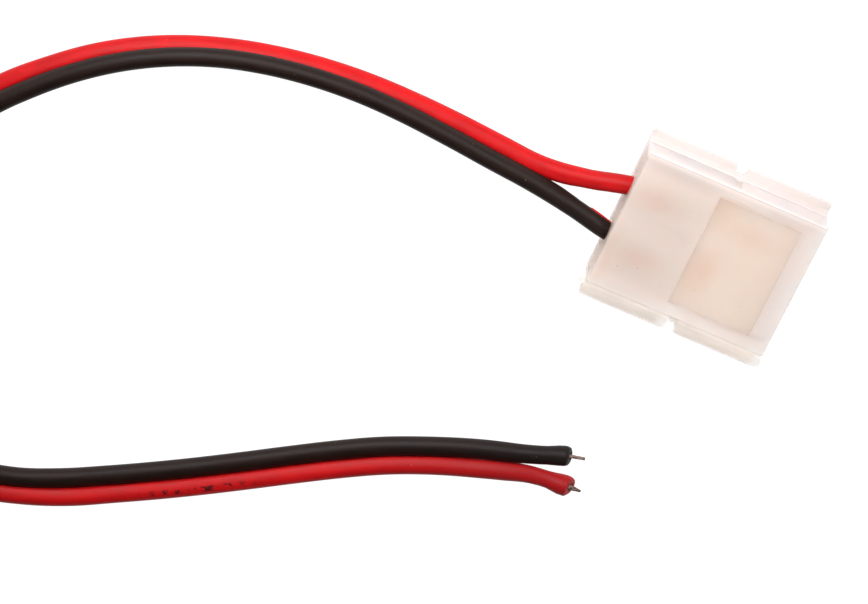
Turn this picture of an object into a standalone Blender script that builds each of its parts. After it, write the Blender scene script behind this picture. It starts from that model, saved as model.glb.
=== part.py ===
"""Solderless connector for a two-wire LED strip: a folding clear housing, two contacts and a twin lead.

Sizes are in millimetres here and in metres in the file. The origin is under the middle of the cover,
+X runs from the wires to the strip's slot, +Z is up. The hinge is on the -Y side.
"""
import math

import bmesh
import bpy
from mathutils import Vector
from mathutils.geometry import interpolate_bezier

# Housing
LENGTH = 15.9
WIDTH = 12.5
HEIGHT = 3.6
BASE_T = 0.9
FLANGE = 0.97
LEDGE_T = 0.4
LEDGE_ROOT = 0.36
LEDGE_EDGE = 0.12
GAP = 0.1
WALL = 0.85
TOP_CHAMFER = 0.12
WALL_STEP = 0.05

# Strip slot
SLOT_W = 10.2
SLOT_Y = -0.3
THROAT_H = 1.05
LIP_L = 1.5
PAD_L = 7.5
PAD_T = 0.75

# Hinge straps
STRAP_R = 1.72
STRAP_T = 0.45
STRAP_FLARE = 0.15
STRAP_CHAMFER = 0.5
STRAP_ROOT = 0.5
HINGE_NOTCH = 0.82
FILM_T = 0.12
FOLD_GAP = 0.15

# Finger notch in the ledge and tongue between the straps
NOTCH_W = 1.04
NOTCH_BOTTOM = 0.66
NOTCH_ROOT = 0.2
LUG_W = 0.72
LUG_OUT = 0.55
LUG_TOP = 0.4
LUG_T = 0.9
GROOVE_W = 0.8

# Posts on the base: wire guides, contact seats, strip stops and the tabs that hold the cover shut
GUIDE_T = 0.36
GUIDE_GAP = 0.15
GUIDE_START = 2.0
GUIDE_END = 0.6
SEAT_T = 0.3
SEAT_L = 1.8
STOP_L = 0.4
STOP_RISE = 0.85
TAB_W = 1.8
TAB_T = 0.45
TAB_RISE = 1.3
TAB_X = 0.55
ROOTED = 0.3
EXIT_WALL = 0.95
EXIT_GAP = 0.15

# Contacts and lead
CONTACT_PITCH = 5.0
CONTACT_W = 2.6
SHEET_T = 0.2
WIRE_D = 1.56
WIRE_PITCH = 1.85
CORE_D = 0.64
BLACK_SHIFT = 0.55
LEAD_LENGTH = 150.0

MM = 0.001
HALF_L = LENGTH / 2
HALF_W = WIDTH / 2
FOLD_Z = HEIGHT / 2
FOLD_Y = -HALF_W - STRAP_R
COVER_Z = BASE_T + GAP
CEILING_Z = HEIGHT - WALL
WIRE_Z = BASE_T + 0.12 + WIRE_D / 2
FLOOR_Z = WIRE_D / 2 + 0.02
RED_Y = SLOT_Y + CONTACT_PITCH / 2 + 0.15
BLACK_Y = SLOT_Y - CONTACT_PITCH / 2 + 0.15
EXIT_BLACK_Y = BLACK_Y + BLACK_SHIFT
BARREL_X = -HALF_L + 4.4
BARREL_L = 1.7
ROOT_X = BARREL_X + BARREL_L + 0.7
STOP_X = ROOT_X - 0.55
LANE_W = WIRE_D + 1.5


def material(name, colour, roughness, metallic=0.0):
    made = bpy.data.materials.new(name)
    made.use_nodes = True
    shader = made.node_tree.nodes["Principled BSDF"]
    shader.inputs["Base Color"].default_value = (*colour, 1.0)
    shader.inputs["Roughness"].default_value = roughness
    shader.inputs["Metallic"].default_value = metallic
    return made


def mesh_object(name, points, faces, look=None):
    mesh = bpy.data.meshes.new(name)
    mesh.from_pydata([Vector(p) * MM for p in points], [], faces)
    mesh.validate()
    shape = bmesh.new()
    shape.from_mesh(mesh)
    bmesh.ops.recalc_face_normals(shape, faces=shape.faces)
    shape.to_mesh(mesh)
    shape.free()
    made = bpy.data.objects.new(name, mesh)
    bpy.context.scene.collection.objects.link(made)
    if look:
        mesh.materials.append(look)
    return made


def prism(name, outline, low, high, axis="Z", look=None):
    """Outline of (a, b) points: (x, y) pulled up Z, or (y, z) pulled along X."""
    place = (lambda a, b, c: (a, b, c)) if axis == "Z" else (lambda a, b, c: (c, a, b))
    n = len(outline)
    points = [place(a, b, low) for a, b in outline] + [place(a, b, high) for a, b in outline]
    sides = [(i, (i + 1) % n, n + (i + 1) % n, n + i) for i in range(n)]
    return mesh_object(name, points, [tuple(range(n)), tuple(range(n, 2 * n)), *sides], look)


def box(name, x, y, z, look=None):
    return prism(name, [(x[0], y[0]), (x[1], y[0]), (x[1], y[1]), (x[0], y[1])], z[0], z[1], "Z", look)


def tool(made):
    made.hide_render = True
    made.display_type = "WIRE"
    return made


def boolean(target, other, operation):
    step = target.modifiers.new(other.name, "BOOLEAN")
    step.operation = operation
    step.solver = "EXACT"
    step.object = tool(other)


def join(target, *others):
    for other in others:
        boolean(target, other, "UNION")


def cut(target, *others):
    for other in others:
        boolean(target, other, "DIFFERENCE")


def parent_at(children, pivot):
    for child in children:
        child.parent = pivot
        child.matrix_parent_inverse = pivot.matrix_world.inverted()


def strap_edges(y):
    """Both ends of one strap along X at a given Y: it flares past the housing, then is chamfered."""
    out = -HALF_W - y
    inner, outer = HINGE_NOTCH / 2, HALF_L - 0.2
    outer += (STRAP_FLARE + 0.2) * min(1.0, max(0.0, out) / 0.6)
    corner = max(0.0, out - (STRAP_R - STRAP_CHAMFER))
    return inner + corner, outer - corner


def strap(name, side, up, look):
    """Quarter arc from the wall to the fold. It starts inside the wall, so that it joins to it."""
    stop = math.pi / 2 - FOLD_GAP / STRAP_R
    steps = 10
    ends = strap_edges(-HALF_W)
    points = [(side * x, -HALF_W + STRAP_ROOT, FOLD_Z + up * radius)
              for radius in (STRAP_R, STRAP_R - STRAP_T) for x in ends]
    for i in range(steps + 1):
        turn = stop * i / steps
        for radius in (STRAP_R, STRAP_R - STRAP_T):
            y = -HALF_W - radius * math.sin(turn)
            a, b = strap_edges(-HALF_W - STRAP_R * math.sin(turn))
            z = FOLD_Z + up * radius * math.cos(turn)
            points += [(side * a, y, z), (side * b, y, z)]
    faces = [(0, 1, 3, 2)]
    last = 4 * (steps + 1)
    faces.append((last, last + 1, last + 3, last + 2))
    for k in range(steps + 1):
        p, q = 4 * k, 4 * k + 4
        faces += [(p, p + 1, q + 1, q), (p + 2, p + 3, q + 3, q + 2),
                  (p, p + 2, q + 2, q), (p + 1, p + 3, q + 3, q + 1)]
    return mesh_object(name, points, faces, look)


def make_base(look):
    half, lip = HALF_W, HALF_W + FLANGE
    outline = [(-half, 0.35), (-half + 0.35, 0.0), (lip - LEDGE_EDGE, 0.0), (lip, LEDGE_EDGE), (lip, LEDGE_T),
               (half + LEDGE_ROOT, LEDGE_T), (half, BASE_T), (-half, BASE_T)]
    base = prism("base_plate", outline, -HALF_L, HALF_L, "X", look)
    low = BASE_T - ROOTED
    for name, y in (("red", RED_Y), ("black", BLACK_Y)):
        for side in (-1, 1):
            wall = y + side * (WIRE_D / 2 + GUIDE_GAP + GUIDE_T / 2)
            join(base, box(f"{name}_guide_{side}", (-HALF_L + GUIDE_START, BARREL_X - GUIDE_END),
                           (wall - GUIDE_T / 2, wall + GUIDE_T / 2), (low, WIRE_Z)))
            seat = y + side * (CONTACT_W + SEAT_T + 0.3) / 2
            join(base, box(f"{name}_seat_{side}", (ROOT_X + 0.2, ROOT_X + 0.2 + SEAT_L),
                           (seat - SEAT_T / 2, seat + SEAT_T / 2), (low, BASE_T + 0.25)))
    stop_x = (STOP_X, STOP_X + STOP_L)
    left, right = SLOT_Y - SLOT_W / 2 + 0.25, SLOT_Y + SLOT_W / 2 - 0.25
    for i, (a, b) in enumerate(((left, left + 0.8), (SLOT_Y - 0.6, SLOT_Y + 0.6), (right - 0.8, right))):
        join(base, box(f"strip_stop_{i}", stop_x, (a, b), (low, BASE_T + STOP_RISE)))
    for side in (-1, 1):
        tab = side * HALF_L * TAB_X
        join(base, box(f"tab_{side}", (tab - TAB_W / 2, tab + TAB_W / 2), (half - 0.6 - TAB_T, half - 0.6),
                       (low, BASE_T + TAB_RISE)))
        join(base, strap(f"lower_strap_{side}", side, -1, None))
    outer, inner = NOTCH_W / 2, NOTCH_BOTTOM / 2
    cut(base, prism("ledge_notch", [(-inner, half + NOTCH_ROOT), (-outer, lip), (-outer, lip + 1), (outer, lip + 1),
                                    (outer, lip), (inner, half + NOTCH_ROOT)], -1, 2))
    return base


def make_cover(look):
    half, step = HALF_W, WALL_STEP
    line = HEIGHT - 0.8
    outline = [(-half + step, COVER_Z), (half - step, COVER_Z), (half - step, line), (half, line + step),
               (half, HEIGHT - TOP_CHAMFER), (half - TOP_CHAMFER, HEIGHT), (-half + TOP_CHAMFER, HEIGHT),
               (-half, HEIGHT - TOP_CHAMFER), (-half, line + step), (-half + step, line)]
    cover = prism("cover", outline, -HALF_L, HALF_L, "X", look)
    slot = (SLOT_Y - SLOT_W / 2, SLOT_Y + SLOT_W / 2)
    front = HALF_L - LIP_L
    cut(cover, box("pad_pocket", (STOP_X - 0.15, front), slot, (COVER_Z - 1, CEILING_Z)))
    cut(cover, box("throat", (front - 1, HALF_L + 1), (slot[0] + 0.01, slot[1] - 0.01),
                   (COVER_Z - 1, BASE_T + THROAT_H)))
    lane_x = (-HALF_L + EXIT_WALL, STOP_X + STOP_L / 2)
    for name, y, out_y in (("red", RED_Y, RED_Y), ("black", BLACK_Y, EXIT_BLACK_Y)):
        cut(cover, box(f"{name}_lane", lane_x, (y - LANE_W / 2, y + LANE_W / 2), (COVER_Z - 1, CEILING_Z)))
        r = WIRE_D / 2 + EXIT_GAP
        arch = [(out_y + r, COVER_Z - 1), (out_y + r, WIRE_Z)]
        arch += [(out_y + r * math.cos(t), WIRE_Z + r * math.sin(t))
                 for t in (math.pi * i / 10 for i in range(1, 10))]
        arch += [(out_y - r, WIRE_Z), (out_y - r, COVER_Z - 1)]
        cut(cover, prism(f"{name}_exit", arch, -HALF_L - 1, -HALF_L + EXIT_WALL + 0.25, "X"))
    for side in (-1, 1):
        tab = side * HALF_L * TAB_X
        cut(cover, box(f"tab_slot_{side}", (tab - TAB_W / 2 - 0.15, tab + TAB_W / 2 + 0.15),
                       (half - TAB_T - 0.75, half - TAB_T), (COVER_Z - 1, BASE_T + TAB_RISE + 0.2)))
        join(cover, strap(f"upper_strap_{side}", side, 1, None))
    outer, inner = GROOVE_W / 2, GROOVE_W / 2 - 0.15
    groove = [(-outer, COVER_Z - 0.5), (outer, COVER_Z - 0.5), (inner, line), (-inner, line)]
    deep, proud = half - step - 0.12, half + 1
    points = [(x, deep, z) for x, z in groove] + [(x, proud, z) for x, z in groove]
    faces = [(0, 1, 2, 3), (4, 5, 6, 7)] + [(i, (i + 1) % 4, 4 + (i + 1) % 4, 4 + i) for i in range(4)]
    cut(cover, mesh_object("finger_groove", points, faces))
    lug = [(LUG_W / 2, -half + 0.3)]
    lug += [(LUG_W / 2 * math.cos(t), -half - LUG_OUT + LUG_W / 2 - LUG_W / 2 * math.sin(t))
            for t in (math.pi * i / 8 for i in range(9))]
    lug += [(-LUG_W / 2, -half + 0.3)]
    join(cover, prism("tongue", lug, HEIGHT - LUG_TOP - LUG_T, HEIGHT - LUG_TOP))
    return cover


def make_pad(look):
    front, half = HALF_L - LIP_L, SLOT_W / 2 - 0.05
    pad = box("strip_pad", (front - PAD_L, front - 0.1), (SLOT_Y - half, SLOT_Y + half),
              (CEILING_Z - 0.1 - PAD_T, CEILING_Z - 0.1), look)
    return pad


def make_film(name, side, look):
    a, b = sorted((side * (HINGE_NOTCH / 2 + STRAP_CHAMFER + 0.02),
                   side * (HALF_L + STRAP_FLARE - STRAP_CHAMFER - 0.02)))
    return box(name, (a, b), (FOLD_Y - FILM_T / 2, FOLD_Y + FILM_T / 2), (FOLD_Z - 0.125, FOLD_Z + 0.125), look)


def make_contact(name, y, look):
    """One stamped sheet: a curled barrel, two rails down on the base, a cross bar and a raised tongue."""
    r = CORE_D / 2 + 0.1 + SHEET_T / 2
    bottom = WIRE_Z - r
    rail_z = BASE_T + 0.12 + SHEET_T / 2
    across = [-1, -0.79, -0.58, -0.47, -0.16, 0.16, 0.47, 0.58, 0.79, 1]
    across = [v * CONTACT_W / 2 for v in across]
    rows = [(BARREL_X, "barrel", 0), (BARREL_X + BARREL_L * 0.5, "barrel", 0), (BARREL_X + BARREL_L, "barrel", 0),
            (BARREL_X + BARREL_L + 0.25, "open", 0.55), (ROOT_X - 0.1, "open", 1.0), (ROOT_X + 0.1, "flat", 0)]
    ahead = [(0.55, 0.5, 0.32), (1.0, 0.9, 0.47), (1.5, 1.0, 0.46), (1.95, 1.0, 0.32), (2.2, 1.0, 0.3),
             (2.55, 1.0, 0.42)]
    points, index, faces = [], {}, []

    def add(key, x, yy, z):
        index[key] = len(points)
        points.append((x, yy, z))

    for i, (x, kind, mix) in enumerate(rows):
        for j, v in enumerate(across):
            if kind == "flat" or mix == 1.0:
                spot = (y + v, bottom)
            else:
                radius = r / (1 - mix)
                spot = (y + radius * math.sin(v / radius), bottom + radius * (1 - math.cos(v / radius)))
            add(("base", i, j), x, *spot)
    count = len(across)
    for i in range(len(rows) - 1):
        for j in range(count - 1):
            faces.append((index["base", i, j], index["base", i, j + 1],
                          index["base", i + 1, j + 1], index["base", i + 1, j]))
    rails, tongue = (0, 1, 2, 7, 8, 9), (3, 4, 5, 6)
    last = len(rows) - 1
    for j in rails + tongue:
        index["rail" if j in rails else "tongue", -1, j] = index["base", last, j]
    for i, (dx, drop, lift) in enumerate(ahead):
        for j in rails:
            add(("rail", i, j), ROOT_X + dx, y + across[j], bottom + (rail_z - bottom) * drop)
        for j in tongue:
            narrow = 1.0 - 0.25 * max(0.0, dx - 1.5)
            add(("tongue", i, j), ROOT_X + dx, y + across[j] * narrow, bottom + lift)
    for kind, columns in (("rail", ((0, 1), (1, 2), (7, 8), (8, 9))), ("tongue", ((3, 4), (4, 5), (5, 6)))):
        for i in range(-1, len(ahead) - 1):
            for a, b in columns:
                faces.append((index[kind, i, a], index[kind, i, b], index[kind, i + 1, b], index[kind, i + 1, a]))
    end = len(ahead) - 1
    for i, dx in enumerate((2.85, 3.2)):
        for j in range(count):
            add(("bar", i, j), ROOT_X + dx, y + across[j], rail_z)
    for a, b in ((0, 1), (1, 2), (7, 8), (8, 9)):
        faces.append((index["rail", end, a], index["rail", end, b], index["bar", 0, b], index["bar", 0, a]))
    for j in range(count - 1):
        faces.append((index["bar", 0, j], index["bar", 0, j + 1], index["bar", 1, j + 1], index["bar", 1, j]))
    contact = mesh_object(name, points, faces, look)
    sheet = contact.modifiers.new("Sheet", "SOLIDIFY")
    sheet.thickness = SHEET_T * MM
    sheet.offset = 0.0
    sheet.use_even_offset = True
    return contact


# Lead: red's and black's centre lines from the housing to where they join, then red's alone, as x, y
# and the angle by which black rides over it. The pair turns on edge where it bends most and lies flat
# again by the time it comes back.
RED_SPLIT = [(-10.05, 1.72, 1.6), (-12.05, 0.98, 1.25), (-14.25, 0.58, 0.95)]
RED_OUT = [(-17.41, 0.66, 54), (-21.1, 0.95, 59), (-24.72, 1.15, 65), (-28.27, 1.22, 71), (-31.71, 1.11, 75),
           (-35.04, 0.76, 78), (-38.27, 0.19, 80), (-42.16, -0.84, 80), (-45.65, -2.17, 77), (-48.71, -3.73, 74),
           (-51.42, -5.51, 69), (-54.04, -7.64, 65)]
RED_BACK = [(-39.68, -44.35), (-36.67, -42.72), (-33.7, -41.01), (-30.54, -39.11), (-27.13, -36.96),
            (-23.52, -34.6), (-20.63, -32.73), (-17.7, -30.92), (-14.68, -29.26), (-11.57, -27.89)]
RED_END = [(-9.06, -26.95), (-6.65, -26.15), (-4.15, -25.4), (-2.5, -25.08), (-1.22, -25.06)]
RED_TIP = (0.08, -25.01)
BLACK_SPLIT = [(-10.15, -1.66, 1.88), (-13.25, -0.94, 2.02)]
BLACK_END = [(-9.9, -25.2), (-7.41, -24.42), (-4.99, -23.5), (-2.15, -22.43)]
BLACK_TIP = (-0.82, -22.1)


def smooth(points, gap):
    """Even points about gap apart on a Catmull-Rom curve through the given ones."""
    dense = []
    for i in range(len(points) - 1):
        before, start = points[max(i - 1, 0)], points[i]
        stop, after = points[i + 1], points[min(i + 2, len(points) - 1)]
        dense += interpolate_bezier(start, start + (stop - before) / 6, stop - (after - start) / 6, stop, 24)[:-1]
    dense.append(points[-1])
    lengths = [0.0]
    for a, b in zip(dense, dense[1:]):
        lengths.append(lengths[-1] + (b - a).length)
    count = max(1, round(lengths[-1] / gap))
    even, k = [], 0
    for i in range(count + 1):
        want = lengths[-1] * i / count
        while k < len(dense) - 2 and lengths[k + 1] < want:
            k += 1
        span = lengths[k + 1] - lengths[k] or 1.0
        even.append(dense[k].lerp(dense[k + 1], (want - lengths[k]) / span))
    return even, lengths[-1]


def red_route(reach):
    """Red's points from the housing to its free end, and the roll of the pair at each."""
    head = [(BARREL_X - 0.15, RED_Y, WIRE_Z), (-HALF_L + 1.5, RED_Y, WIRE_Z),
            (-HALF_L - 0.1, RED_Y - 0.03, WIRE_Z)] + RED_SPLIT
    points = [Vector(p) for p in head]
    rolls = [None] * len(points)
    for x, y, roll in RED_OUT:
        points.append(Vector((x, y, FLOOR_Z)))
        rolls.append(roll)
    start, first = points[-1], Vector((*RED_BACK[0], FLOOR_Z))
    leave = (start - points[-2]).normalized()
    arrive = (Vector((*RED_BACK[1], FLOOR_Z)) - first).normalized()
    loop = interpolate_bezier(start, start + leave * reach, first - arrive * reach, first, 12)[1:-1]
    for i, spot in enumerate(loop):
        points.append(spot)
        rolls.append(RED_OUT[-1][2] * (1 - (i + 1) / (len(loop) + 1)))
    for x, y in RED_BACK:
        points.append(Vector((x, y, FLOOR_Z)))
        rolls.append(0.0)
    return points, rolls


def route_length(points):
    return sum((b - a).length for a, b in zip(points, points[1:]))


def lead_routes():
    """The free loop's reach is found so that the red wire is LEAD_LENGTH long outside the housing."""
    end = [Vector((x, y, FLOOR_Z)) for x, y in RED_END]
    low, high = 5.0, 60.0
    for _ in range(40):
        reach = (low + high) / 2
        points, rolls = red_route(reach)
        if route_length(points[2:] + end) < LEAD_LENGTH:
            low = reach
        else:
            high = reach
    black = [Vector(p) for p in [(BARREL_X - 0.15, BLACK_Y, WIRE_Z), (-HALF_L + 1.5, BLACK_Y + 0.2, WIRE_Z),
                                 (-HALF_L - 0.1, EXIT_BLACK_Y + 0.02, WIRE_Z)] + BLACK_SPLIT]
    for i, roll in enumerate(rolls):
        if roll is None:
            continue
        way = points[min(i + 1, len(points) - 1)] - points[i - 1]
        inward = Vector((-way.y, way.x, 0.0)).normalized()
        turn = math.radians(roll)
        black.append(points[i] + (inward * math.cos(turn) + Vector((0, 0, math.sin(turn)))) * WIRE_PITCH)
    return points + end, black + [Vector((x, y, FLOOR_Z)) for x, y in BLACK_END]


def tube(name, points, diameter, look, sides=2):
    curve = bpy.data.curves.new(name, "CURVE")
    curve.dimensions = "3D"
    curve.bevel_depth = diameter / 2 * MM
    curve.bevel_resolution = sides
    curve.use_fill_caps = True
    line = curve.splines.new("POLY")
    line.points.add(len(points) - 1)
    for spot, point in zip(line.points, points):
        spot.co = (*(point * MM), 1.0)
    curve.materials.append(look)
    made = bpy.data.objects.new(name, curve)
    bpy.context.scene.collection.objects.link(made)
    return made


for old in list(bpy.data.objects):
    bpy.data.objects.remove(old)

clear = material("milky_clear_plastic", (0.86, 0.85, 0.84), 0.3)
foam = material("cream_foam", (0.72, 0.63, 0.5), 0.8)
bronze = material("phosphor_bronze", (0.75, 0.5, 0.28), 0.3, 1.0)
tin = material("tinned_copper", (0.7, 0.7, 0.68), 0.35, 1.0)
red_pvc = material("red_pvc", (0.62, 0.015, 0.015), 0.4)
black_pvc = material("black_pvc", (0.015, 0.012, 0.012), 0.4)

base = make_base(clear)
cover = make_cover(clear)
pad = make_pad(foam)
pivot = bpy.data.objects.new("cover_pivot", None)
bpy.context.scene.collection.objects.link(pivot)
pivot.location = Vector((0, FOLD_Y, FOLD_Z)) * MM
bpy.context.view_layer.update()
parent_at([cover, pad] + [m.object for m in cover.modifiers], pivot)
make_film("hinge_film_front", 1, clear)
make_film("hinge_film_rear", -1, clear)

red_line, black_line = lead_routes()
for colour, y, points, tip, look in (("red", RED_Y, red_line, RED_TIP, red_pvc),
                                     ("black", BLACK_Y, black_line, BLACK_TIP, black_pvc)):
    make_contact("contact_positive" if colour == "red" else "contact_negative", y, bronze)
    even, _ = smooth(points, 3.9)
    tube(f"{colour}_wire", even, WIRE_D, look)
    tube(f"{colour}_core", [even[0] + Vector((0.02, 0, 0)),
                            Vector((BARREL_X + BARREL_L + 0.15, y, WIRE_Z))], CORE_D, tin, 1)
    start, stop = even[-1], Vector((*tip, FLOOR_Z))
    tube(f"{colour}_tinned_tip", [start + (stop - start).normalized() * 0.02, stop], CORE_D + 0.1, tin, 1)
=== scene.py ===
import math

import bmesh
import bpy
from mathutils import Matrix, Vector, noise
from mathutils.geometry import interpolate_bezier


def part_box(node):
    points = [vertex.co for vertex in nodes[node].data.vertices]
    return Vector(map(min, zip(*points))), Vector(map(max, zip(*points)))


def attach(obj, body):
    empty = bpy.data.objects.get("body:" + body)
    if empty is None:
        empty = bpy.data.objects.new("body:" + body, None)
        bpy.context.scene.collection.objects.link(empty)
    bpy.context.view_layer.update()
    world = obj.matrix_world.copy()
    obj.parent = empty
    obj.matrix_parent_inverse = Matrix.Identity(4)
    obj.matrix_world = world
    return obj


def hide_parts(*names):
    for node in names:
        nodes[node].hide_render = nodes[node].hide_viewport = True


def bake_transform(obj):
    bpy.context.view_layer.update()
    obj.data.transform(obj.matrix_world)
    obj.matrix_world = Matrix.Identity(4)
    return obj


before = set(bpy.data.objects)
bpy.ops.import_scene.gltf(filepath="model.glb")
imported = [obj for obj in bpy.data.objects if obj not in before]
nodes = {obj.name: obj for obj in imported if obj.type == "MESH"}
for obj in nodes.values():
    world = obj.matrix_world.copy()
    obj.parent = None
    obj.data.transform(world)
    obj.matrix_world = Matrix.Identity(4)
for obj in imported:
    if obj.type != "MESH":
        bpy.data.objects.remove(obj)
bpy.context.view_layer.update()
mm = 0.001


def pick(piece):
    bpy.ops.object.select_all(action="DESELECT")
    piece.select_set(True)
    bpy.context.view_layer.objects.active = piece


def ramp(value, low, high):
    # 0 below low and 1 above high, with a soft step between
    share = min(1.0, max(0.0, (value - low) / (high - low)))
    return share * share * (3 - 2 * share)


# camera: its place in mm and where the picture's right, down and depth point, fitted to the housing's corners
cameraSettings = {
    "place": (-57.916, 121.215, 323.192),
    "right": (0.914243, 0.401305, -0.055794),
    "down": (0.389046, -0.83105, 0.397491),
    "ahead": (0.113148, -0.38511, -0.915908),
    "lens": 176.45, "sensor": 36, "nearest": 10,
}
bpy.ops.object.camera_add()
camera = bpy.context.object
camera.name = "studioCamera"
axes = [Vector(cameraSettings["right"]), -Vector(cameraSettings["down"]), -Vector(cameraSettings["ahead"])]
stand = Matrix.Translation(Vector(cameraSettings["place"]) * mm)
camera.matrix_world = stand @ Matrix(axes).transposed().to_4x4()
camera.data.lens = cameraSettings["lens"]
camera.data.sensor_width = cameraSettings["sensor"]
camera.data.clip_start = cameraSettings["nearest"] * mm
bpy.context.scene.camera = camera
bpy.context.scene.view_settings.view_transform = "Standard"
print("camera placed")


def linearColour(code):
    # an sRGB hex value as the linear colour that a shader takes
    parts = [int(code[i:i + 2], 16) / 255 for i in (1, 3, 5)]
    return (*[c / 12.92 if c <= 0.04045 else ((c + 0.055) / 1.055) ** 2.4 for c in parts], 1.0)


def addNode(tree, kind, settings=None, links=None, stops=()):
    # a setting is a property or a socket, a hex value there is a colour, and stops are those of a colour ramp
    node = tree.nodes.new(kind)
    for name, value in (settings or {}).items():
        if isinstance(name, str) and hasattr(node, name):
            setattr(node, name, value)
        else:
            node.inputs[name].default_value = linearColour(value) if isinstance(value, str) else value
    for name, source in (links or {}).items():
        tree.links.new(source, node.inputs[name])
    for i, (where, code) in enumerate(stops):
        node.color_ramp.elements[i].position = where
        node.color_ramp.elements[i].color = linearColour(code)
    return node


def startMaterial(name, settings):
    made = bpy.data.materials.new(name)
    made.use_nodes = True
    shader = made.node_tree.nodes["Principled BSDF"]
    for socket, value in settings.items():
        shader.inputs[socket].default_value = linearColour(value) if isinstance(value, str) else value
    return made, made.node_tree, shader


def joined(tree, operation, values):
    # one value from several, two at a time
    value = values[0]
    for other in values[1:]:
        value = addNode(tree, "ShaderNodeMath", {"operation": operation}, {0: value, 1: other}).outputs[0]
    return value


def layered(tree, colour, layers):
    # each layer's colour covers what lies under it as far as its share says
    for share, code in layers:
        mixed = addNode(tree, "ShaderNodeMix", {"data_type": "RGBA", 7: code}, {0: share, 6: colour})
        colour = mixed.outputs[2]
    return colour


milky = {
    # the third colour, over the wires' lanes, is painted shade: darker and warmer for the dim inside seen
    # through
    "base": "#F7EAE4", "shade": "#F2E2DA", "rear": "#F1E1D8", "solid": "#F5E9E4",
    # the first colour below is painted shade for the soft warm patches over crimps, wires and tongues
    "paintedShade": "#E3B6A2", "speck": "#9A7F72",
    "roughness": 0.32, "milk": 0.7, "reach": 1.2,
    # mm: width of the clouds, the mould's grain, which is drawn coarser than it is so that it shows, and the
    # dust's spacing and the width of the patches where it lies
    "cloud": 5.556, "grain": 0.4, "dust": 0.625, "dustPatch": 2.381, "dustSize": 0.06, "dustLevel": 0.58,
    # how dense the plastic is in general, over the wires and over the pad
    "alpha": 0.6, "overWires": 0.74, "overPad": 0.36,
    # axis, and where a zone starts and is full in mm: the pad's window, the wires' lanes, the solid rim
    "padEdges": (("X", -1.12, -1.1), ("X", 6.22, 6.17), ("Y", -5.05, -4.95), ("Y", 5.12, 5.09)),
    "wireEdges": (("X", -1.0, -1.3), ("Y", -5.8, -5.0), ("Y", 5.4, 4.6)),
    "rimEdges": (("Y", 5.1, 6.0), ("X", 6.37, 6.57)),
    # end wall, hinge straps and finger ledge, each with how dense it is
    "dense": ((("X", -7.8, -7.9), 0.42), (("Y", -6.0, -6.6), 0.22), (("Y", 5.7, 6.15), 0.8)),
    # colours of the crease along the cover's edge, its wall there, the ledge's rim and the hinge straps
    # the crease's colour is painted shade, which dims the highlight on the cover's top edge
    "tones": ((("Y", 6.1, 6.14), "#D2C3C1"), (("Y", 6.188, 6.2), "#F3E7E5"),
              (("Y", 6.26, 6.32), "#E7DBD8"), (("Y", -6.2, -6.5), "#FAE2D0")),
    # painted shade, soft and warm, where crimps, wires and tongues show through: middle, reach and strength
    "paintedShades": (((-5.3, 2.5), (3.4, 1.7), 0.3), ((-5.1, -2.7), (3.3, 1.8), 0.34),
               ((-7.4, -3.0), (1.1, 4.2), 0.22), ((2.6, 2.8), (4.4, 1.7), 0.2),
               ((0.6, -1.2), (1.6, 3.0), 0.2)),
    # single grains of dirt: place and size
    "grit": (((0.41, -3.1), 0.055), ((0.46, -3.2), 0.04), ((0.21, -3.36), 0.045), ((-6.2, -3.9), 0.05),
             ((-4.6, -3.4), 0.055), ((-1.1, 3.1), 0.05), ((5.9, -4.6), 0.05), ((4.9, 0.6), 0.035)),
    "gritStrength": 1.6,
}


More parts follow.
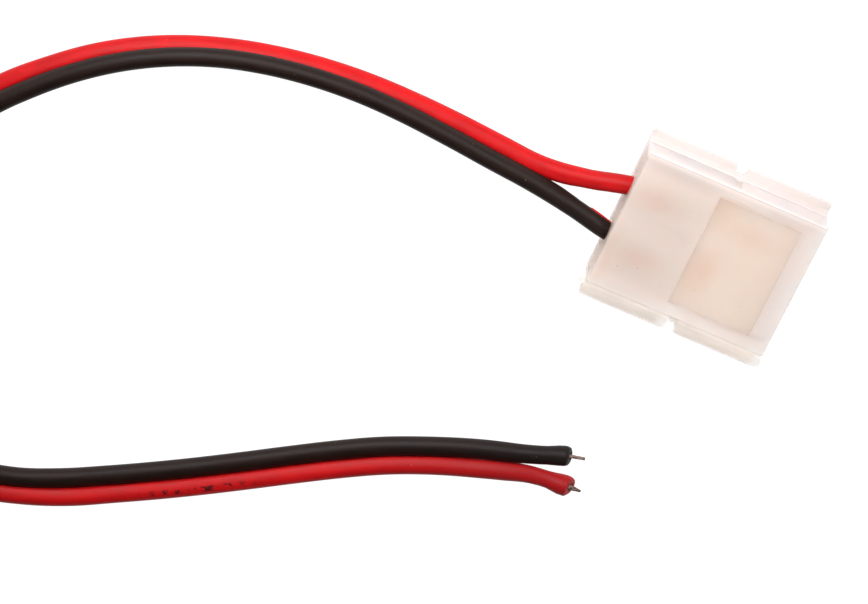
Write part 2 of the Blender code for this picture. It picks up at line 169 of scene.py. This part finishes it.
def makeMilkyPlastic():
    # injection moulded polypropylene: milky, softly glossy, faintly clouded and dusty, clearer over the pad
    # painted shade lies over the wires and crimps inside it and along the cover's top edge
    made, tree, shader = startMaterial("milkyPolypropylene", {
        "Roughness": milky["roughness"], "IOR": 1.49, "Alpha": milky["alpha"],
        "Subsurface Weight": milky["milk"], "Subsurface Radius": (1.0, 0.85, 0.75),
        "Subsurface Scale": milky["reach"] * mm})
    place = addNode(tree, "ShaderNodeTexCoord").outputs["Object"]
    sides = addNode(tree, "ShaderNodeSeparateXYZ", links={"Vector": place})

    def edge(side, start, stop):
        return addNode(tree, "ShaderNodeMapRange", {"From Min": start * mm, "From Max": stop * mm},
                       {"Value": sides.outputs[side]}).outputs[0]

    def softSpot(middle, reach, strength):
        # a soft oval seen from above, strongest in its middle
        moved = addNode(tree, "ShaderNodeMapping", {
            "Location": (-middle[0] / reach[0], -middle[1] / reach[1], 0),
            "Scale": (1 / reach[0] / mm, 1 / reach[1] / mm, 0)}, {"Vector": place})
        far = addNode(tree, "ShaderNodeVectorMath", {"operation": "LENGTH"}, {0: moved.outputs["Vector"]})
        return addNode(tree, "ShaderNodeMapRange", {
            "interpolation_type": "SMOOTHSTEP", "From Min": 1.0, "From Max": 0.0, "To Max": strength},
            {"Value": far.outputs["Value"]}).outputs[0]

    window = joined(tree, "MULTIPLY", [edge(*where) for where in milky["padEdges"]])
    lanes = joined(tree, "MULTIPLY", [edge(*where) for where in milky["wireEdges"]])
    rim = joined(tree, "MAXIMUM", [edge(*where) for where in milky["rimEdges"]])
    density = addNode(tree, "ShaderNodeMapRange", {"To Min": milky["alpha"], "To Max": milky["overWires"]},
                      {"Value": lanes}).outputs[0]
    zones = [(edge(*where), alpha) for where, alpha in milky["dense"]]
    for share, alpha in (*zones, (window, milky["overPad"])):
        mixed = addNode(tree, "ShaderNodeMix", {"data_type": "FLOAT", 3: alpha}, {0: share, 2: density})
        density = mixed.outputs[0]
    tree.links.new(density, shader.inputs["Alpha"])

    clouds = addNode(tree, "ShaderNodeTexNoise", {"Scale": 1 / (milky["cloud"] * mm), "Detail": 3.0},
                     {"Vector": place})
    tint = addNode(tree, "ShaderNodeValToRGB", links={"Fac": clouds.outputs["Fac"]},
                   stops=((0.3, milky["base"]), (0.75, milky["shade"])))
    # painted shade: soft warm patches where the parts under the cover show through
    paintedShades = joined(tree, "MAXIMUM", [softSpot(*paintedShade) for paintedShade in milky["paintedShades"]])
    spread = addNode(tree, "ShaderNodeTexVoronoi", {"Scale": 1 / (milky["dust"] * mm)}, {"Vector": place})
    dots = addNode(tree, "ShaderNodeMath", {"operation": "LESS_THAN", 1: milky["dustSize"]},
                   {0: spread.outputs["Distance"]})
    patchy = addNode(tree, "ShaderNodeTexNoise", {"Scale": 1 / (milky["dustPatch"] * mm)}, {"Vector": place})
    few = addNode(tree, "ShaderNodeMath", {"operation": "GREATER_THAN", 1: milky["dustLevel"]},
                  {0: patchy.outputs["Fac"]})
    dust = joined(tree, "MULTIPLY", [dots.outputs[0], few.outputs[0]])
    grit = [softSpot(where, (size, size), milky["gritStrength"]) for where, size in milky["grit"]]
    tones = [(edge(*where), code) for where, code in milky["tones"]]
    # the lanes, the crease and the soft patches get painted shade; the specks are real dust and grit
    colour = layered(tree, tint.outputs["Color"], [
        (lanes, milky["rear"]), (rim, milky["solid"]), *tones, (paintedShades, milky["paintedShade"]),
        (joined(tree, "MAXIMUM", [dust, *grit]), milky["speck"])])
    tree.links.new(colour, shader.inputs["Base Color"])

    fine = addNode(tree, "ShaderNodeTexNoise", {"Scale": 1 / (milky["grain"] * mm), "Detail": 4.0},
                   {"Vector": place})
    bump = addNode(tree, "ShaderNodeBump", {"Strength": 0.06, "Distance": 0.02 * mm},
                   {"Height": fine.outputs["Fac"]})
    tree.links.new(bump.outputs["Normal"], shader.inputs["Normal"])
    return made


# the third colour of each wire is painted shade, darkening it towards its cut end where the light falls off
pvcColours = {
    "red": {"light": "#CE1216", "dark": "#B31013", "paintedEndShade": "#A21316", "speck": "#E58E84",
            "scuff": "#4E0F12", "shine": 0.16, "roughness": (0.38, 0.62)},
    "black": {"light": "#24150F", "dark": "#190E0A", "paintedEndShade": "#180E0B", "speck": "#7D706A",
              "scuff": "#2F2421", "shine": 0.2, "roughness": (0.46, 0.62)},
}
# mm, though the wire's own map counts along and around it in units of 10 mm; the grain is drawn coarser than
# it is so that it shows, and the streaks are stretched along the wire
pvcMarks = {
    "unit": 10, "streak": 0.625, "stretch": 4, "scuff": 1.111, "grain": 0.1667,
    "dust": 0.4545, "dustSize": 0.075, "dustLevel": 0.86,
    # where the painted shade towards the cut end begins and is full, in mm along the wire
    "paintedEndFalloff": (132, 149), "scuffLevel": (0.5, 0.57),
    "scuffEdges": (("X", 117, 120), ("X", 129, 126), ("Y", 0.85, 1.0), ("Y", 1.5, 1.35)),
}


def makePvc(colour):
    # extruded PVC insulation: satin, streaked lengthwise, with pale dust and dark scuffs, and painted shade at
    # its end
    settings, unit = pvcColours[colour], pvcMarks["unit"]
    smooth, rough = settings["roughness"]
    made, tree, shader = startMaterial(f"{colour}PvcInsulation", {
        "Roughness": smooth, "IOR": 1.53, "Specular IOR Level": settings["shine"]})
    way = addNode(tree, "ShaderNodeTexCoord").outputs["UV"]
    along = addNode(tree, "ShaderNodeSeparateXYZ", links={"Vector": way})
    drawn = addNode(tree, "ShaderNodeMapping", {"Scale": (1 / pvcMarks["stretch"], 1.0, 1.0)},
                    {"Vector": way})

    def between(value, start, stop):
        return addNode(tree, "ShaderNodeMapRange", {"From Min": start, "From Max": stop},
                       {"Value": value}).outputs[0]

    patches = addNode(tree, "ShaderNodeTexNoise", {"Scale": unit / pvcMarks["streak"], "Detail": 5.0},
                      {"Vector": drawn.outputs[0]})
    tint = addNode(tree, "ShaderNodeValToRGB", links={"Fac": patches.outputs["Fac"]},
                   stops=((0.3, settings["dark"]), (0.7, settings["light"])))
    # painted shade: the wire darkens towards its cut end, where the light falls off
    paintedEndFalloff = between(along.outputs["X"], *[edge / unit for edge in pvcMarks["paintedEndFalloff"]])
    marks = addNode(tree, "ShaderNodeTexNoise", {
        "Scale": unit / pvcMarks["scuff"], "Detail": 6.0, "Roughness": 0.7}, {"Vector": way})
    scuffed = [between(marks.outputs["Fac"], *pvcMarks["scuffLevel"])]
    for side, start, stop in pvcMarks["scuffEdges"]:
        scuffed.append(between(along.outputs[side], start / unit, stop / unit))
    dust = addNode(tree, "ShaderNodeTexVoronoi", {"Scale": unit / pvcMarks["dust"]}, {"Vector": way})
    dots = addNode(tree, "ShaderNodeMath", {"operation": "LESS_THAN", 1: pvcMarks["dustSize"]},
                   {0: dust.outputs["Distance"]})
    few = addNode(tree, "ShaderNodeMath", {"operation": "GREATER_THAN", 1: pvcMarks["dustLevel"]},
                  {0: dust.outputs["Color"]})
    colour = layered(tree, tint.outputs["Color"], [
        (paintedEndFalloff, settings["paintedEndShade"]), (joined(tree, "MULTIPLY", scuffed), settings["scuff"]),
        (joined(tree, "MULTIPLY", [dots.outputs[0], few.outputs[0]]), settings["speck"])])
    tree.links.new(colour, shader.inputs["Base Color"])

    grain = addNode(tree, "ShaderNodeTexNoise", {"Scale": unit / pvcMarks["grain"], "Detail": 5.0},
                    {"Vector": drawn.outputs[0]})
    bump = addNode(tree, "ShaderNodeBump", {"Strength": 0.2, "Distance": 0.03 * mm},
                   {"Height": grain.outputs["Fac"]})
    tree.links.new(bump.outputs["Normal"], shader.inputs["Normal"])
    dull = addNode(tree, "ShaderNodeMapRange", {"To Min": smooth, "To Max": rough},
                   {"Value": patches.outputs["Fac"]})
    tree.links.new(dull.outputs["Result"], shader.inputs["Roughness"])
    return made


foam = {
    "light": "#FBF0DC", "dark": "#FBE6D0", "softSpot": "#EDB57A", "roughness": 0.85,
    "cell": 0.2222, "mottle": 4.167,  # mm
    # painted warm shade at the rear edge, for light scattered in the cover: middles, reach in mm, strength
    "paintedShadeSpots": ((-1.2, 4.2, 2.3), (-1.2, -2.2, 2.3)), "reach": 3.4, "strength": 0.75,
}


def makeFoam():
    # closed-cell foam: matt, fine cells, faintly mottled, with two patches of painted warm shade at its rear
    made, tree, shader = startMaterial("creamFoam", {"Roughness": foam["roughness"]})
    place = addNode(tree, "ShaderNodeTexCoord").outputs["Object"]
    wide = addNode(tree, "ShaderNodeTexNoise", {"Scale": 1 / (foam["mottle"] * mm), "Detail": 2.0},
                   {"Vector": place})
    tint = addNode(tree, "ShaderNodeValToRGB", links={"Fac": wide.outputs["Fac"]},
                   stops=((0.3, foam["dark"]), (0.7, foam["light"])))
    # painted shade: warm patches at the pad's rear edge
    near = []
    for middle in foam["paintedShadeSpots"]:
        away = addNode(tree, "ShaderNodeVectorMath", {"operation": "DISTANCE", 1: Vector(middle) * mm},
                       {0: place})
        near.append(addNode(tree, "ShaderNodeMapRange", {
            "interpolation_type": "SMOOTHSTEP", "From Min": foam["reach"] * mm, "From Max": 0.0,
            "To Max": foam["strength"]}, {"Value": away.outputs["Value"]}).outputs[0])
    colour = layered(tree, tint.outputs["Color"], [(joined(tree, "MAXIMUM", near), foam["softSpot"])])
    tree.links.new(colour, shader.inputs["Base Color"])
    cells = addNode(tree, "ShaderNodeTexVoronoi", {"Scale": 1 / (foam["cell"] * mm)}, {"Vector": place})
    bump = addNode(tree, "ShaderNodeBump", {"Strength": 0.3, "Distance": 0.05 * mm},
                   {"Height": cells.outputs["Distance"]})
    tree.links.new(bump.outputs["Normal"], shader.inputs["Normal"])
    return made


metals = {
    "phosphorBronze": {"light": "#D9A066", "dark": "#B97F4A", "roughness": 0.32, "mark": 1.111},
    "tinnedCopper": {"light": "#A08A7F", "dark": "#5A443D", "roughness": 0.5, "mark": 0.6667},
}


def makeMetal(name):
    # stamped strip or drawn strand: bright metal, uneven in tone where it was rolled or tinned, with its marks
    # drawn broad enough to show
    settings = metals[name]
    made, tree, shader = startMaterial(name, {"Metallic": 1.0, "Roughness": settings["roughness"]})
    place = addNode(tree, "ShaderNodeTexCoord").outputs["Object"]
    marks = addNode(tree, "ShaderNodeTexNoise", {"Scale": 1 / (settings["mark"] * mm), "Detail": 5.0},
                    {"Vector": place})
    tint = addNode(tree, "ShaderNodeValToRGB", links={"Fac": marks.outputs["Fac"]},
                   stops=((0.3, settings["dark"]), (0.7, settings["light"])))
    tree.links.new(tint.outputs["Color"], shader.inputs["Base Color"])
    bump = addNode(tree, "ShaderNodeBump", {"Strength": 0.1, "Distance": 0.02 * mm},
                   {"Height": marks.outputs["Fac"]})
    tree.links.new(bump.outputs["Normal"], shader.inputs["Normal"])
    return made


milkyPlastic = makeMilkyPlastic()
pvc = {colour: makePvc(colour) for colour in pvcColours}
creamFoam = makeFoam()
phosphorBronze = makeMetal("phosphorBronze")
tinnedCopper = makeMetal("tinnedCopper")
print("materials made")

# the twin lead in mm: red's centre line from its crimp to its cut end, and black's two ends, because between
# them black lies a pitch from red, at the angle in degrees that redOut gives third: 0 beside it, 90 on top
lead = {
    "diameter": 1.56, "pitch": 1.85, "length": 150.0, "floor": 0.8, "lowest": 0.01,
    "step": 3.9, "gap": 0.5, "around": 32, "fine": 24,
    "turnPoints": 12, "turnReach": (5.0, 60.0), "halvings": 40,
    "redHead": [(-3.7, 2.35, 1.8), (-6.45, 2.35, 1.8), (-8.05, 2.32, 1.8), (-10.05, 1.72, 1.6),
                (-12.05, 0.98, 1.25), (-14.25, 0.58, 0.95)],
    "redOut": [(-17.41, 0.66, 54), (-21.1, 0.95, 59), (-24.72, 1.15, 65), (-28.27, 1.22, 71),
               (-31.71, 1.11, 75), (-35.04, 0.76, 78), (-38.27, 0.19, 80), (-42.16, -0.84, 80),
               (-45.65, -2.17, 77), (-48.71, -3.73, 74), (-51.42, -5.51, 69), (-54.04, -7.64, 65)],
    "redBack": [(-39.68, -44.35), (-36.67, -42.72), (-33.7, -41.01), (-30.54, -39.11), (-27.13, -36.96),
                (-23.52, -34.6), (-20.63, -32.73), (-17.7, -30.92), (-14.68, -29.26), (-11.57, -27.89)],
    "redEnd": [(-9.06, -26.95), (-6.65, -26.15), (-4.15, -25.4), (-2.5, -25.08), (-1.22, -25.06)],
    "blackHead": [(-3.7, -2.65, 1.8), (-6.45, -2.45, 1.8), (-8.05, -2.08, 1.8), (-10.15, -1.66, 1.88),
                  (-13.25, -0.94, 2.02)],
    "blackEnd": [(-9.9, -25.2), (-7.41, -24.42), (-4.99, -23.5), (-2.15, -22.43)],
    # how far over the pitch the web parts, the lips' overlap, the web's half height and its torn edge
    "parting": (0.12, 0.9), "overlap": 0.004, "webHeight": 0.72,
    "torn": 0.03, "tornGrain": 2.3, "tornFrom": (4.6, 5.2),
    # along a wire: where it is pinched, from its crimp on, and necked and flared, back from its cut end
    "pinched": (0.6, 1.3, 3.9, 4.6), "necked": (-6.0, -3.2, -2.4, -1.1), "flared": (-1.9, -0.7),
    # rings of the cut end: distance back from it and share of the size, the last two inside the sleeve
    "cutEnd": ((0.46, 1.0), (0.3, 0.97), (0.15, 0.89), (0.05, 0.77), (0.0, 0.62), (0.03, 0.42), (0.2, 0.36)),
}
# how much each wire flares, necks and is pinched, how far its sleeve reaches over the strands and how aslant
# it is cut, a number for a tear of its own, where its strands end, and their radii inside and at the tip
wireEnds = {
    "red": {"flare": 0.16, "neck": 0.2, "pinch": 0.0, "over": 0.4, "slant": 0.55, "tear": 6.4,
            "tip": (0.08, -25.01), "strands": (0.36, 0.1)},
    "black": {"flare": 0.1, "neck": 0.07, "pinch": 0.12, "over": 0.14, "slant": 0.25, "tear": 4.0,
              "tip": (-0.82, -22.1), "strands": (0.17, 0.13)},
}


def smoothPoints(points, gap):
    # a smooth line through the points, cut into even steps of about the gap
    dense = []
    for i in range(len(points) - 1):
        before, start = points[max(i - 1, 0)], points[i]
        stop, after = points[i + 1], points[min(i + 2, len(points) - 1)]
        leave, arrive = start + (stop - before) / 6, stop - (after - start) / 6
        dense += interpolate_bezier(start, leave, arrive, stop, lead["fine"])[:-1]
    dense.append(points[-1])
    lengths = [0.0]
    for a, b in zip(dense, dense[1:]):
        lengths.append(lengths[-1] + (b - a).length)
    count = max(1, round(lengths[-1] / gap))
    even, k = [], 0
    for i in range(count + 1):
        want = lengths[-1] * i / count
        while k < len(dense) - 2 and lengths[k + 1] < want:
            k += 1
        span = lengths[k + 1] - lengths[k] or 1.0
        even.append(dense[k].lerp(dense[k + 1], (want - lengths[k]) / span))
    return even


def onFloor(pairs):
    return [Vector((x, y, lead["floor"])) for x, y in pairs]


def redRoute(reach):
    # out, round the hidden turn and back, with the angle of black for each point
    points = [Vector(p) for p in lead["redHead"]]
    rolls = [None] * len(points)
    points += onFloor([(x, y) for x, y, roll in lead["redOut"]])
    rolls += [roll for x, y, roll in lead["redOut"]]
    back = onFloor(lead["redBack"])
    start, first = points[-1], back[0]
    leave, arrive = (start - points[-2]).normalized(), (back[1] - first).normalized()
    leave, arrive = start + leave * reach, first - arrive * reach
    turn = interpolate_bezier(start, leave, arrive, first, lead["turnPoints"])[1:-1]
    rolls += [rolls[-1] * (1 - (i + 1) / (len(turn) + 1)) for i in range(len(turn))]
    return points + turn + back, rolls + [0.0] * len(back)


def leadRoutes():
    # the turn reaches out as far as gives the lead its length outside the housing, found by halving
    end = onFloor(lead["redEnd"])
    low, high = lead["turnReach"]
    for halving in range(lead["halvings"]):
        reach = (low + high) / 2
        points, rolls = redRoute(reach)
        free = points[2:] + end
        if sum((b - a).length for a, b in zip(free, free[1:])) < lead["length"]:
            low = reach
        else:
            high = reach
    black = [Vector(p) for p in lead["blackHead"]]
    for i, roll in enumerate(rolls):
        if roll is not None:
            way = points[min(i + 1, len(points) - 1)] - points[i - 1]
            inward = Vector((-way.y, way.x, 0.0)).normalized()
            angle = math.radians(roll)
            over = inward * math.cos(angle) + Vector((0, 0, math.sin(angle)))
            black.append(points[i] + over * lead["pitch"])
    return points + end, black + onFloor(lead["blackEnd"])


def makeTube(name, spots, around, look, along=()):
    # a closed tube from its rings of points; along gives each ring's place in mm for the wire's own map
    count = len(spots) // around
    faces = []
    for i in range(count - 1):
        for k in range(around):
            a, b = i * around + k, i * around + (k + 1) % around
            faces.append((a, b, b + around, a + around))
    faces.append(tuple(range(around))[::-1])
    faces.append(tuple(range((count - 1) * around, count * around)))
    mesh = bpy.data.meshes.new(name)
    mesh.from_pydata(spots, [], faces)
    if along:
        unit, girth = pvcMarks["unit"], math.pi * lead["diameter"]
        strip = mesh.uv_layers.new(name="along")
        for face in mesh.polygons:
            for loop in face.loop_indices:
                ring, k = divmod(mesh.loops[loop].vertex_index, around)
                turn = 1.0 if k == 0 and face.vertices[0] % around == around - 1 else k / around
                strip.data[loop].uv = (along[ring] / unit, turn * girth / unit)
    shape = bmesh.new()
    shape.from_mesh(mesh)
    bmesh.ops.recalc_face_normals(shape, faces=shape.faces)
    shape.to_mesh(mesh)
    shape.free()
    mesh.materials.append(look)
    mesh.shade_smooth()
    made = bpy.data.objects.new(name, mesh)
    bpy.context.scene.collection.objects.link(made)
    return made


def makeWire(name, points, other, look, end):
    # a round wire with a lip towards its twin: the lips meet where the pair is bonded and are torn past that
    line, twin = smoothPoints(points, lead["gap"]), smoothPoints(other, lead["gap"])
    around, radius, pitch = lead["around"], lead["diameter"] / 2, lead["pitch"]
    lengths = [0.0]
    for a, b in zip(line, line[1:]):
        lengths.append(lengths[-1] + (b - a).length)
    total, last, depth = lengths[-1], len(line) - 1, lead["cutEnd"][0][0]
    forward = (line[last] - line[last - 1]).normalized()
    rings = [(line[i], i, lengths[i], 1.0) for i in range(last)]
    rings += [(line[last] - forward * back, last, total - back, size) for back, size in lead["cutEnd"]]
    webFrom, webTo = (pitch + over for over in lead["parting"])
    pinchFrom, pinchFull, pinchLeave, pinchGone = lead["pinched"]
    neckFrom, neckFull, neckLeave, neckGone = lead["necked"]
    spots = []
    for spot, i, far, size in rings:
        way = (line[min(i + 1, last)] - line[max(i - 1, 0)]).normalized()
        near = min(twin, key=lambda p: (p - spot).length_squared) - spot
        side = (near - way * near.dot(way)).normalized()
        up = way.cross(side)
        bond = 1 - ramp(near.length, webFrom, webTo)
        ragged = lead["torn"] * (1 + noise.noise(Vector((far * lead["tornGrain"], end["tear"], 0.0))))
        ragged *= ramp(far, *lead["tornFrom"])
        lip = radius + (pitch / 2 + lead["overlap"] - radius) * bond + ragged * (1 - bond)
        toEnd = far - total
        neck = ramp(toEnd, neckFrom, neckFull) * (1 - ramp(toEnd, neckLeave, neckGone))
        swell = radius * (1 + end["flare"] * ramp(toEnd, *lead["flared"]) - end["neck"] * neck)
        hold = 1 - end["pinch"] * ramp(far, pinchFrom, pinchFull) * (1 - ramp(far, pinchLeave, pinchGone))
        swell, lip = swell * hold, lip * hold
        for k in range(around):
            angle = 2 * math.pi * k / around
            out, rise = swell * math.cos(angle), swell * math.sin(angle)
            if out > 0 and i < last:
                out += (max(lip, out) - out) * (1 - ramp(abs(rise), 0.0, lead["webHeight"]))
            point = spot + (side * out + up * rise) * size
            if i == last:
                point -= forward * end["slant"] * (point.z - spot.z) * ramp(depth + toEnd, 0.0, depth)
            point.z = max(point.z, lead["lowest"])
            spots.append(point * mm)
    wire = makeTube(name, spots, around, look, [far for spot, i, far, size in rings])
    return wire, [tuple(p * mm) for p in line]


strandSettings = {"rings": 14, "count": 7, "sides": 6, "groove": 0.16, "inside": 0.3, "tipTwist": 2.4,
                  "core": (0.32, 0.3), "coreTwist": 3.5, "coreOver": 0.1}


def makeStrands(name, start, stop, radii, twist):
    # a bundle of strands drawn as one lobed, twisted rod that thins to its end
    rings, lobes, groove = strandSettings["rings"], strandSettings["count"], strandSettings["groove"]
    around = lobes * strandSettings["sides"]
    way = stop - start
    side = way.cross(Vector((0, 0, 1))).normalized()
    up = side.cross(way).normalized()
    points = []
    for i in range(rings + 1):
        share = i / rings
        size = radii[0] + (radii[1] - radii[0]) * share
        for k in range(around):
            angle = 2 * math.pi * k / around
            bulge = size * (1 - groove + groove * abs(math.cos(lobes * angle / 2)))
            turned = angle + twist * share
            out = side * math.cos(turned) + up * math.sin(turned)
            points.append((start + way * share + out * bulge) * mm)
    made = makeTube(name, points, around, tinnedCopper)
    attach(made, "housing")
    return made


# in mm along the black wire and out from its centre; lean is the angle in degrees over the side towards red
sliver = {"start": 4.5, "stop": 6.9, "width": 0.15, "thick": 0.12, "proud": 0.78, "lean": 4, "around": 10,
          "least": 0.35, "taper": (0.12, 0.8)}


def makeSliver(name, line, twin, look):
    # a shaving of red insulation left on the black wire where the pair was pulled apart
    spots, far, around = [], 0.0, sliver["around"]
    centre = [Vector(p) / mm for p in line]
    other = [Vector(p) / mm for p in twin]
    lean = math.radians(sliver["lean"])
    for a, b in zip(centre, centre[1:]):
        far += (b - a).length
        if sliver["start"] <= far <= sliver["stop"]:
            way = (b - a).normalized()
            near = min(other, key=lambda p: (p - b).length_squared) - b
            side = (near - way * near.dot(way)).normalized()
            up = way.cross(side)
            up = up if up.z > 0 else -up
            out = side * math.cos(lean) + up * math.sin(lean)
            share = (far - sliver["start"]) / (sliver["stop"] - sliver["start"])
            full = math.sin(math.pi * min(1.0, sliver["taper"][0] + share * sliver["taper"][1]))
            size = sliver["least"] + (1 - sliver["least"]) * full
            for k in range(around):
                angle = 2 * math.pi * k / around
                spots.append((b + out * (sliver["proud"] + sliver["width"] * size * math.cos(angle)) +
                              way.cross(out) * sliver["thick"] * size * math.sin(angle)) * mm)
    made = makeTube(name, spots, around, look)
    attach(made, "housing")
    return made


redPoints, blackPoints = leadRoutes()
routes = {"red": smoothPoints(redPoints, lead["step"]), "black": smoothPoints(blackPoints, lead["step"])}
wires, lines = {}, {}
for colour, other in (("red", "black"), ("black", "red")):
    route, end = routes[colour], wireEnds[colour]
    sleeve = route[:-1] + [route[-1] + (route[-1] - route[-2]).normalized() * end["over"]]
    wire, lines[colour] = makeWire(f"{colour}Wire", sleeve, routes[other], pvc[colour], end)
    wires[colour] = wire
    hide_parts(f"{colour}_wire")
    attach(wire, "housing")
extras = {"red": [], "black": [makeSliver("redSliver", lines["black"], lines["red"], pvc["red"])]}
for colour, end in wireEnds.items():
    start, stop = routes[colour][-1], Vector((*end["tip"], lead["floor"]))
    inside = start - (stop - start).normalized() * strandSettings["inside"]
    makeStrands(f"{colour}Strands", inside, stop, end["strands"], strandSettings["tipTwist"])
    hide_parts(f"{colour}_tinned_tip")
    low, high = (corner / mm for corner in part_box(f"{colour}_core"))
    middle = (low + high) / 2
    start = Vector((low.x - strandSettings["coreOver"], middle.y, middle.z))
    stop = Vector((high.x, middle.y, middle.z))
    core = makeStrands(f"{colour}Core", start, stop, strandSettings["core"], strandSettings["coreTwist"])
    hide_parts(f"{colour}_core")
print("lead laid")

# the housing: lengths in mm and angles in degrees
finish = {"merge": 0.002, "flat": 0.5, "bevel": 0.05, "segments": 2, "sharp": 30, "smooth": 32}


def roundEdges(piece):
    bevel = piece.modifiers.new("edges", "BEVEL")
    bevel.width = finish["bevel"] * mm
    bevel.segments = finish["segments"]
    bevel.limit_method = "ANGLE"
    bevel.angle_limit = math.radians(finish["sharp"])
    bpy.ops.object.modifier_apply(modifier=bevel.name)


def dressNode(node, name, look, body, rounded):
    # a copy of the solid with its triangles merged and, where it is rounded, its edges softened
    made = bpy.data.objects.new(name, nodes[node].data.copy())
    bpy.context.scene.collection.objects.link(made)
    made.data.materials.clear()
    made.data.materials.append(look)
    pick(made)
    bpy.ops.object.mode_set(mode="EDIT")
    bpy.ops.mesh.select_all(action="SELECT")
    bpy.ops.mesh.remove_doubles(threshold=finish["merge"] * mm)
    bpy.ops.mesh.dissolve_limited(angle_limit=math.radians(finish["flat"]))
    bpy.ops.object.mode_set(mode="OBJECT")
    if rounded:
        roundEdges(made)
    bpy.ops.object.shade_smooth_by_angle(angle=math.radians(finish["smooth"]))
    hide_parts(node)
    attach(made, body)


def addBlock(name, middle, cuts):
    # a unit cube, cut evenly, that its vertices then give its size
    bpy.ops.object.select_all(action="DESELECT")
    bpy.ops.mesh.primitive_cube_add(size=1, location=middle)
    made = bpy.context.object
    made.name = made.data.name = name
    bpy.ops.object.mode_set(mode="EDIT")
    bpy.ops.mesh.subdivide(number_cuts=cuts)
    bpy.ops.object.mode_set(mode="OBJECT")
    return made


dressNode("base_plate", "basePlate", milkyPlastic, "housing", True)
dressNode("cover", "coverShell", milkyPlastic, "lid", True)
dressNode("contact_positive", "redContact", phosphorBronze, "housing", False)
dressNode("contact_negative", "blackContact", phosphorBronze, "housing", False)

# foam pad: drawn out to the pocket's walls and up to the ceiling, with a slightly uneven face below
padSettings = {"toWall": 0.08, "toCeiling": 0.09, "toSides": 0.03, "cuts": 40, "uneven": 0.02, "bumps": 2.2,
               "drawn": (0.3, 0.5)}
low, high = (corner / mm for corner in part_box("strip_pad"))
foamPad = addBlock("foamPad", (low + high) / 2 * mm, padSettings["cuts"])
for point in foamPad.data.vertices:
    spot = Vector([low[i] + (high[i] - low[i]) * (point.co[i] + 0.5) for i in range(3)])
    forwards, left, right, up = (ramp(share, *padSettings["drawn"]) for share in (
        point.co.x, point.co.y, -point.co.y, point.co.z))
    spot += Vector((padSettings["toWall"] * forwards, padSettings["toSides"] * (left - right),
                    padSettings["toCeiling"] * up))
    if point.co.z < 0:
        spot.z += padSettings["uneven"] * noise.noise(spot * padSettings["bumps"])
    point.co = (spot - (low + high) / 2) * mm
pick(foamPad)
bpy.ops.object.transform_apply(location=True, rotation=False, scale=False)
roundEdges(foamPad)
bpy.ops.object.shade_smooth_by_angle(angle=math.radians(finish["smooth"]))
foamPad.data.materials.append(creamFoam)
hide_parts("strip_pad")
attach(foamPad, "lid")

# hinge film: a thin crescent at each strap's fold, cut in slices
filmSettings = {"slices": 8, "bulge": 0.04, "fold": (0.0, -7.97, 1.8)}
for end in ("front", "rear"):
    low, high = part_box(f"hinge_film_{end}")
    film = addBlock(f"hingeFilm{end.title()}", (low + high) / 2, filmSettings["slices"])
    for point in film.data.vertices:
        fromMiddle = (2 * point.co.z) ** 2
        point.co = Vector([point.co[i] * (high - low)[i] for i in range(3)])
        point.co.y += filmSettings["bulge"] * mm * fromMiddle
    pick(film)
    bpy.ops.object.transform_apply(location=True, rotation=False, scale=False)
    bpy.ops.object.shade_smooth_by_angle(angle=math.radians(finish["smooth"]))
    film.data.materials.append(milkyPlastic)
    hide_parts(f"hinge_film_{end}")
    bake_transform(film)
print("housing dressed")

# white paper that glows, a hair under the part so that no face of the two lies in one plane
stageSettings = {"size": 2.0, "below": 0.02, "paper": "#606060", "glow": 1.0, "white": "#FFFFFF",
                 "world": 0.06}
bpy.ops.object.select_all(action="DESELECT")
bpy.ops.mesh.primitive_plane_add(size=stageSettings["size"], location=(0, 0, -stageSettings["below"] * mm))
floor = bpy.context.object
floor.name = "studioFloor"
floor.data.materials.append(startMaterial("studioFloorWhite", {
    "Base Color": stageSettings["paper"], "Roughness": 0.9, "Specular IOR Level": 0.2,
    "Emission Color": stageSettings["white"], "Emission Strength": stageSettings["glow"]})[0])
world = bpy.data.worlds.new("studioWorld")
world.use_nodes = True
world.node_tree.nodes["Background"].inputs["Color"].default_value = linearColour(stageSettings["white"])
world.node_tree.nodes["Background"].inputs["Strength"].default_value = stageSettings["world"]
bpy.context.scene.world = world

# softboxes: place and size in mm, power in watts, spread in degrees and the spot on the floor that each faces
lightSettings = [
    ("softboxLeft", (-100, 150, 200), 120, 0.0405, 40, (-30, 25)),
    ("softboxRight", (120, 190, 190), 120, 0.0352, 40, (-20, 30)),
    ("softboxLead", (-150, 130, 110), 80, 0.0105, 22, (-41, -8)),
    ("softboxHinge", (60, -150, 190), 30, 0.0009, 12, (8, 2)),
]
for name, place, size, power, spread, target in lightSettings:
    bpy.ops.object.light_add(type="AREA", location=Vector(place) * mm)
    light = bpy.context.object
    light.name = name
    light.data.size = size * mm
    light.data.energy = power
    light.data.spread = math.radians(spread)
    aim = Vector((*target, 0)) * mm - light.location
    light.rotation_euler = aim.to_track_quat("-Z", "Y").to_euler()
print("studio lit")
